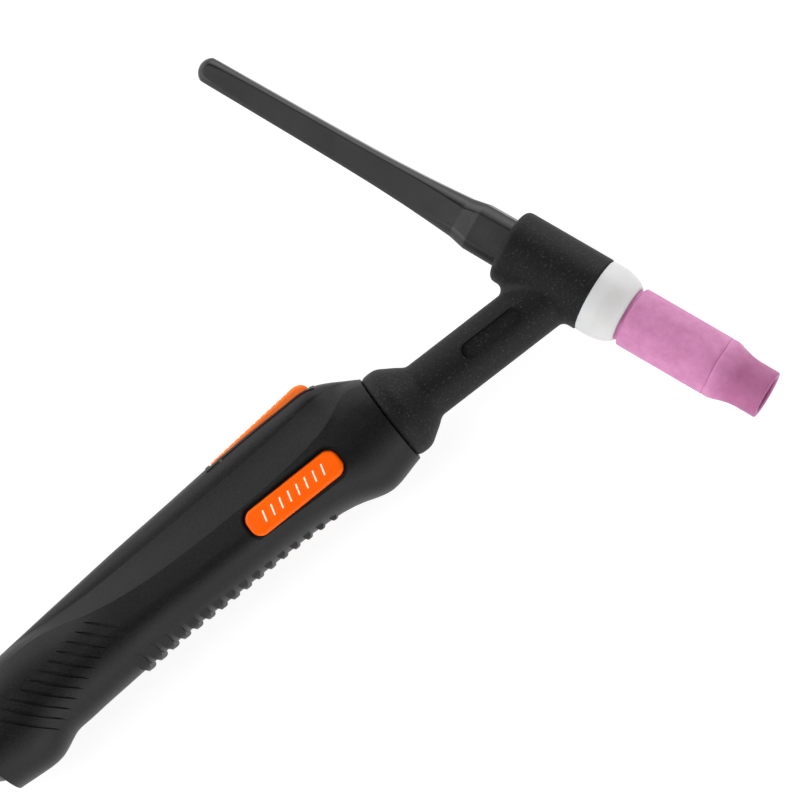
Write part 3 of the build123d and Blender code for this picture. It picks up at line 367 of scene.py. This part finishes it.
def lathe(outline, angles, shape=None):
    """Vertices and faces of a ring turned round the head's axis; shape moves each point by its angle."""
    vertices = []
    for angle in angles:
        for radius, along in outline:
            if shape:
                radius, along = shape(radius, along, angle)
            vertices.append(head_point(radius, along, angle))
    rows, columns = len(outline), len(angles)
    faces = []
    for column in range(columns):
        beside = (column + 1) % columns
        for row in range(rows):
            below = (row + 1) % rows
            here, there = column * rows, beside * rows
            faces.append((here + row, here + below, there + below, there + row))
    return vertices, faces


def even_angles(count):
    return [2 * math.pi * number / count for number in range(count)]


def smooth_min(first, second, width):
    """Lesser of two values, with the corner between them rounded over width."""
    share = max(width - abs(first - second), 0) / width
    return min(first, second) - share * share * width / 4


# ---- nozzle and gasket --------------------------------------------------------------------------------

NOZZLE_SEAM = 50.9
UNEVENNESS = 0.03
INWARD_SHIFT = 0.025      # keeps the uneven skin within the CAD nozzle


def fired_clay(radius, along, angle):
    """Uneven outside of a pressed and fired nozzle, with the fine ring where the die's halves met."""
    if radius < 7.2:
        return radius, along
    place = Vector((2.2 * math.cos(angle), 2.2 * math.sin(angle), along * 0.16))
    radius += UNEVENNESS * noise.noise(place) - INWARD_SHIFT
    seam = NOZZLE_SEAM + 0.35 * noise.noise(Vector((1.6 * math.cos(angle), 1.6 * math.sin(angle), 7)))
    if abs(along - NOZZLE_SEAM) < 1.6:
        along += (seam - NOZZLE_SEAM) * (1 - abs(along - NOZZLE_SEAM) / 1.6)
    return radius, along


def make_nozzle():
    corners = [
        (6.2, 20.45, 0.3), (8.25, 20.45, 0.1), (8.15, 21.3, 0.2), (8.6, 21.55, 0.1),
        (9.1, 21.6, 0.12), (9.35, 21.9, 0.15),
        (9.37, 30.0, 0), (9.36, 40.0, 0), (9.36, NOZZLE_SEAM - 0.28, 0), (9.22, NOZZLE_SEAM - 0.14, 0),
        (9.05, NOZZLE_SEAM, 0), (9.2, NOZZLE_SEAM + 0.14, 0), (9.34, NOZZLE_SEAM + 0.28, 0),
        (9.32, 53.0, 0.9), (8.42, 55.9, 1.3), (7.7, 58.6, 1.2), (7.52, 61.0, 0),
        (7.5, 67.2, 0.25), (7.25, 67.5, 0.2), (5.85, 67.5, 0.25), (5.5, 67.1, 0.2),
        (5.5, 59.0, 0.5), (6.5, 51.4, 0.5), (6.5, 33.0, 0), (6.2, 33.0, 0),
    ]
    vertices, faces = lathe(divided(rounded(corners), 1.2), even_angles(160), fired_clay)
    add_piece("nozzle_body", vertices, faces, "nozzle", "pink_alumina", ["nozzle"])


def make_gasket():
    corners = [
        (10.9, 8.95, 0), (11.2, 8.95, 0.12), (11.36, 9.25, 0.15), (11.42, 13.6, 0.3), (11.3, 14.15, 0.2),
        (11.12, 15.6, 0.8), (10.45, 17.9, 1.0), (9.55, 19.55, 0.8), (8.6, 20.35, 0.35),
        (5.2, 20.35, 0.1), (5.2, 8.95, 0),
    ]
    vertices, faces = lathe(divided(rounded(corners), 1.2), even_angles(144))
    add_piece("cup_gasket_ring", vertices, faces, "torch", "white_ptfe", ["cup_gasket"])


make_nozzle()
make_gasket()


# ---- back cap -------------------------------------------------------------------------------------------

CAP_FLATS = 4
CAP_TURN = math.radians(7.5)          # the first flat, from straight up towards the handle
CAP_EDGE = 0.09                       # softness of the flats' edges
DOME_START = -124.8
DOME_RADIUS = 4.4
DOME_HEIGHT = 4.15
DOME_STEPS = 10
CAP_RIDGES = [     # (along, radius of the ridges between the flats)
    (-16.0, 8.71), (-31.6, 8.5), (-36.7, 7.12), (-44.5, 6.71), (-53.0, 6.31), (-64.0, 5.8), (-76.5, 5.44),
    (-92.0, 5.18), (-112.0, 4.8), (-124.8, 4.43), (-130.0, 4.43),
]
CAP_PANELS = [     # (along, distance of the flats from the axis)
    (-16.6, 7.5), (-31.6, 7.4), (-36.7, 6.4), (-44.5, 5.75), (-53.0, 5.17), (-64.0, 4.69), (-76.5, 4.4),
    (-92.0, 4.19), (-112.0, 3.98), (-124.8, 3.91), (-130.0, 3.91),
]


def reading(table, along):
    """Value at a place in a table of (along, value) rows, running towards the cap's tip."""
    for (start, first), (end, second) in zip(table, table[1:]):
        if along >= end:
            return first + (second - first) * min(1, max(0, (start - along) / (start - end)))
    return table[-1][1]


def flattened(radius, along, angle):
    """Outside of the cap: a round body cut by flats, their edges softly moulded."""
    if along > -16.55 or radius < 0.01:
        return radius, along
    step = 2 * math.pi / CAP_FLATS
    across = (angle - CAP_TURN + step / 2) % step - step / 2
    return smooth_min(radius, reading(CAP_PANELS, along) / math.cos(across), CAP_EDGE), along


def make_back_cap():
    outside = [
        (0, -8.3), (5.35, -8.3), (5.95, -8.9), (5.95, -16.6),
        (8.3, -16.6), (8.56, -16.72), (8.68, -17.05),
    ]
    alongs = [-17.6 - 0.7 * step for step in range(19)]
    alongs += [-31.0, -31.4, -31.55, -31.65, -31.8, -32.2, -33.2, -34.5, -35.6]
    alongs += [-36.3, -36.5, -36.65, -36.9, -37.4, -38.2]
    alongs += [-39.2 - 2.13 * step for step in range(40)]
    for along in alongs:
        outside.append((reading(CAP_RIDGES, along), along))
    for step in range(1, DOME_STEPS + 1):
        turn = step / DOME_STEPS * math.pi / 2
        radius = DOME_RADIUS * math.cos(turn) if step < DOME_STEPS else 0
        outside.append((radius, DOME_START - DOME_HEIGHT * math.sin(turn)))
    step = 2 * math.pi / CAP_FLATS
    places = [0, 6, 12, 17, 21, 24] + [25 + 0.8 * number for number in range(17)] + [39, 41, 43]
    places = [-place for place in reversed(places[1:])] + places
    angles = [CAP_TURN + flat * step + math.radians(place) for flat in range(CAP_FLATS) for place in places]
    vertices, faces = lathe(outside, angles, flattened)
    add_piece("back_cap_body", vertices, faces, "back_cap", "cap_phenolic", ["back_cap"])


make_back_cap()


# ---- trigger spring -----------------------------------------------------------------------------------

SPRING_TURNS = 5
SPRING_WIRE = 0.28 * MM
TURN_STEPS = 24
WIRE_SIDES = 10


def make_spring():
    """Wound wire coil standing in the trigger spring's place, in place of its CAD node."""
    low, high = (Vector(corner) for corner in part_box("trigger_spring"))
    coil_r = (high.x - low.x) / 2 - SPRING_WIRE
    middle = (low + high) / 2
    length = high.y - low.y - 2 * SPRING_WIRE
    count = SPRING_TURNS * TURN_STEPS
    vertices = []
    for number in range(count + 1):
        turn = 2 * math.pi * number / TURN_STEPS
        out = Vector((math.cos(turn), 0, math.sin(turn)))
        climb = Vector((0, SPRING_WIRE + length * number / count, 0))
        center = Vector((middle.x, low.y, middle.z)) + climb + coil_r * out
        for side in range(WIRE_SIDES):
            angle = 2 * math.pi * side / WIRE_SIDES
            round_wire = math.cos(angle) * out + math.sin(angle) * Vector((0, 1, 0))
            vertices.append(center + SPRING_WIRE * round_wire)
    faces = []
    for number in range(count):
        for side in range(WIRE_SIDES):
            beside = (side + 1) % WIRE_SIDES
            start, above = number * WIRE_SIDES, (number + 1) * WIRE_SIDES
            faces.append((start + side, start + beside, above + beside, above + side))
    faces.append(tuple(reversed(range(WIRE_SIDES))))
    faces.append(tuple(range(count * WIRE_SIDES, (count + 1) * WIRE_SIDES)))
    coil = add_piece("trigger_spring_coil", vertices, faces, "torch", "spring_steel", ["trigger_spring"])
    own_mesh(coil)


make_spring()


# ---- badges ---------------------------------------------------------------------------------------------

BADGE_LENGTH = 33.5
BADGE_WIDTH = 8.7
BADGE_CORNER = 3.4
BADGE_TURN = math.radians(1.0)
BADGE_EDGE = 1.1
BADGE_CROWN = 0.35
MARKS = 8
MARK_PITCH = 3.1
MARK_HEIGHT = 3.3
MARK_WIDTH = 0.55
MARK_LEAN = 0.28


def badge_ring(inset):
    """Points of the badge's outline, drawn in by inset, in mm."""
    corner = max(BADGE_CORNER - inset, 0.02)
    half_length = BADGE_LENGTH / 2 - inset
    half_width = BADGE_WIDTH / 2 - inset
    ring = []
    for quarter in range(4):
        middle_x = (half_length - corner) * (1 if quarter in (0, 3) else -1)
        middle_y = (half_width - corner) * (1 if quarter in (0, 1) else -1)
        for step in range(9):
            turn = (quarter + step / 8) * math.pi / 2
            ring.append((middle_x + corner * math.cos(turn), middle_y + corner * math.sin(turn)))
        if quarter in (0, 2):
            for step in range(1, 16):
                ring.append((middle_x * (1 - step / 8), ring[-1][1]))
    return ring


def badge_fall(y):
    """How far the crowned face lies below its middle line."""
    return BADGE_CROWN * (y / (BADGE_WIDTH / 2)) ** 2


def make_badge(side, facing):
    """Glossy crowned plate with a row of plain slanted bars printed on it."""
    low, high = (Vector(corner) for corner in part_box("badge_" + side))
    middle = (low + high) / 2
    top = high.z if facing > 0 else low.z
    bottom = low.z if facing > 0 else high.z
    depth = (high.z - low.z) / MM

    def placed(x, y, fall):
        turned_x = x * math.cos(BADGE_TURN) - y * math.sin(BADGE_TURN)
        turned_y = x * math.sin(BADGE_TURN) + y * math.cos(BADGE_TURN)
        z = top - facing * fall * MM if fall < depth else bottom
        return Vector((middle.x + turned_x * MM, middle.y + turned_y * MM, z))

    layers = [(0, depth)]
    for step in range(7):
        turn = step / 6 * math.pi / 2
        layers.append((BADGE_EDGE * (1 - math.cos(turn)), BADGE_EDGE * (1 - math.sin(turn))))
    layers += [(1.8, 0), (2.6, 0), (3.4, 0), (4.1, 0), (BADGE_WIDTH / 2 - 0.02, 0)]
    vertices = []
    for inset, fall in layers:
        for x, y in badge_ring(inset):
            vertices.append(placed(x, y, fall if fall == depth else fall + badge_fall(y)))
    count = len(badge_ring(0))
    faces = [tuple(range(count))]
    for layer in range(len(layers) - 1):
        for number in range(count):
            beside = (number + 1) % count
            faces.append((
                layer * count + number, layer * count + beside,
                (layer + 1) * count + beside, (layer + 1) * count + number,
            ))
    faces.append(tuple(range((len(layers) - 1) * count, len(layers) * count)))
    plate = add_piece("badge_plate_" + side, vertices, faces, "torch", "orange_inlay", ["badge_" + side])

    vertices, faces = [], []
    for mark in range(MARKS):
        x = (mark - (MARKS - 1) / 2) * MARK_PITCH
        start = len(vertices)
        for step in range(9):
            y = MARK_HEIGHT * (step / 8 - 0.5)
            for across, fall in ((-0.5, 0.02), (-0.42, -0.03), (0.42, -0.03), (0.5, 0.02)):
                vertices.append(placed(x + across * MARK_WIDTH + MARK_LEAN * y, y, fall + badge_fall(y)))
        for step in range(8):
            for column in range(3):
                corner = start + 4 * step + column
                faces.append((corner, corner + 1, corner + 5, corner + 4))
        faces.append(tuple(start + number for number in range(4)))
        faces.append(tuple(start + 32 + number for number in range(4)))
    add_piece("badge_bars_" + side, vertices, faces, "torch", "orange_inlay", materials=[cream_print()])
    return plate


def cream_print():
    """Pale printed ink, thinner in places."""
    s = Shader("cream_print", (0.93, 0.80, 0.64), 0.4)
    s.color(s.mix(s.ramp(s.noise(0.0006, 3), 0.35, 0.7), (0.90, 0.74, 0.56), (0.95, 0.84, 0.70)))
    s.bump((s.noise(0.0003, 2), 0.00001))
    return s.material


make_badge("near", 1)
make_badge("far", -1)


# ---- studio -------------------------------------------------------------------------------------------

FLOOR_HALF = 3.0
floor_mesh = bpy.data.meshes.new("floor")
floor_mesh.from_pydata(
    [
        (-FLOOR_HALF, -FLOOR_HALF, 0), (FLOOR_HALF, -FLOOR_HALF, 0),
        (FLOOR_HALF, FLOOR_HALF, 0), (-FLOOR_HALF, FLOOR_HALF, 0),
    ],
    [], [(0, 1, 2, 3)],
)
floor = bpy.data.objects.new("floor", floor_mesh)
bpy.context.collection.objects.link(floor)
floor_shader = Shader("floor_white", (0.35, 0.35, 0.35), 0.9)
floor_shader.color(floor_shader.mix(floor_shader.noise(0.05, 2), (0.34, 0.34, 0.34), (0.36, 0.36, 0.36)))
floor_shader.set(Emission_Color=(1, 1, 1, 1), Emission_Strength=0.8)
floor_mesh.materials.append(floor_shader.material)

# Soft lights round the horizon with a dark sky between them: compass angle from +X, height above the
# horizon, spread in degrees, and strength.
SKY_LEVEL = 0.05
SOFT_LIGHTS = [
    (275, 9, 67, 3.7),
    (162, 19, 42, 5.0),
    (113, 9, 40, 4.2),
    (52, 9, 36, 5.0),
    (18, 9, 32, 5.0),
    (152, 72, 15, 4.1),
    (134, 54, 14, 7.0),
]


def studio_world():
    """World of soft lights."""
    world = bpy.data.worlds.new("studio")
    world.use_nodes = True
    tree = world.node_tree
    direction = tree.nodes.new("ShaderNodeTexCoord").outputs["Generated"]
    total = None
    for compass, height, spread, strength in SOFT_LIGHTS:
        turn, lift = math.radians(compass), math.radians(height)
        towards = (math.cos(lift) * math.cos(turn), math.cos(lift) * math.sin(turn), math.sin(lift))
        dot = tree.nodes.new("ShaderNodeVectorMath")
        dot.operation = "DOT_PRODUCT"
        dot.inputs[1].default_value = towards
        tree.links.new(direction, dot.inputs[0])
        angle = tree.nodes.new("ShaderNodeMath")
        angle.operation = "ARCCOSINE"
        tree.links.new(dot.outputs["Value"], angle.inputs[0])
        fall = tree.nodes.new("ShaderNodeMapRange")
        fall.interpolation_type = "SMOOTHSTEP"
        fall.inputs["From Min"].default_value = math.radians(spread)
        fall.inputs["From Max"].default_value = 0
        fall.inputs["To Min"].default_value = 0
        fall.inputs["To Max"].default_value = strength
        tree.links.new(angle.outputs[0], fall.inputs["Value"])
        add = tree.nodes.new("ShaderNodeMath")
        add.operation = "ADD"
        tree.links.new(fall.outputs["Result"], add.inputs[0])
        if total is None:
            add.inputs[1].default_value = SKY_LEVEL
        else:
            tree.links.new(total, add.inputs[1])
        total = add.outputs[0]
    background = tree.nodes["Background"]
    background.inputs["Color"].default_value = (1, 1, 1, 1)
    tree.links.new(total, background.inputs["Strength"])
    return world


bpy.context.scene.world = studio_world()
bpy.context.scene.view_settings.view_transform = "Standard"

# ---- camera -------------------------------------------------------------------------------------------

CAMERA_DISTANCE = 1.2
CAMERA_LEAN = Vector((0.052, -0.174, 1.0)).normalized()     # from the torch to the camera
CAMERA_ROLL = math.radians(37.7)                            # how far the neck axis climbs in the view
PICTURE_MIDDLE = Vector((-61.25 * MM, 2.4 * MM, 0))         # from the design's origin
PIXELS_PER_METRE = 3400.0
PICTURE_WIDTH = 800
SENSOR = 0.036

neck_in_view = (Vector((1, 0, 0)) - CAMERA_LEAN.x * CAMERA_LEAN).normalized()
side_in_view = CAMERA_LEAN.cross(neck_in_view)
right = math.cos(CAMERA_ROLL) * neck_in_view - math.sin(CAMERA_ROLL) * side_in_view
up = math.sin(CAMERA_ROLL) * neck_in_view + math.cos(CAMERA_ROLL) * side_in_view
camera_data = bpy.data.cameras.new("camera")
camera_data.sensor_width = SENSOR / MM
camera_data.lens = PIXELS_PER_METRE * CAMERA_DISTANCE / PICTURE_WIDTH * SENSOR / MM
camera_data.clip_end = 20
camera = bpy.data.objects.new("camera", camera_data)
bpy.context.collection.objects.link(camera)
camera.matrix_world = Matrix((
    (right.x, up.x, CAMERA_LEAN.x, 0),
    (right.y, up.y, CAMERA_LEAN.y, 0),
    (right.z, up.z, CAMERA_LEAN.z, 0),
    (0, 0, 0, 1),
))
camera.location = ORIGIN + PICTURE_MIDDLE + CAMERA_DISTANCE * CAMERA_LEAN
bpy.context.scene.camera = camera
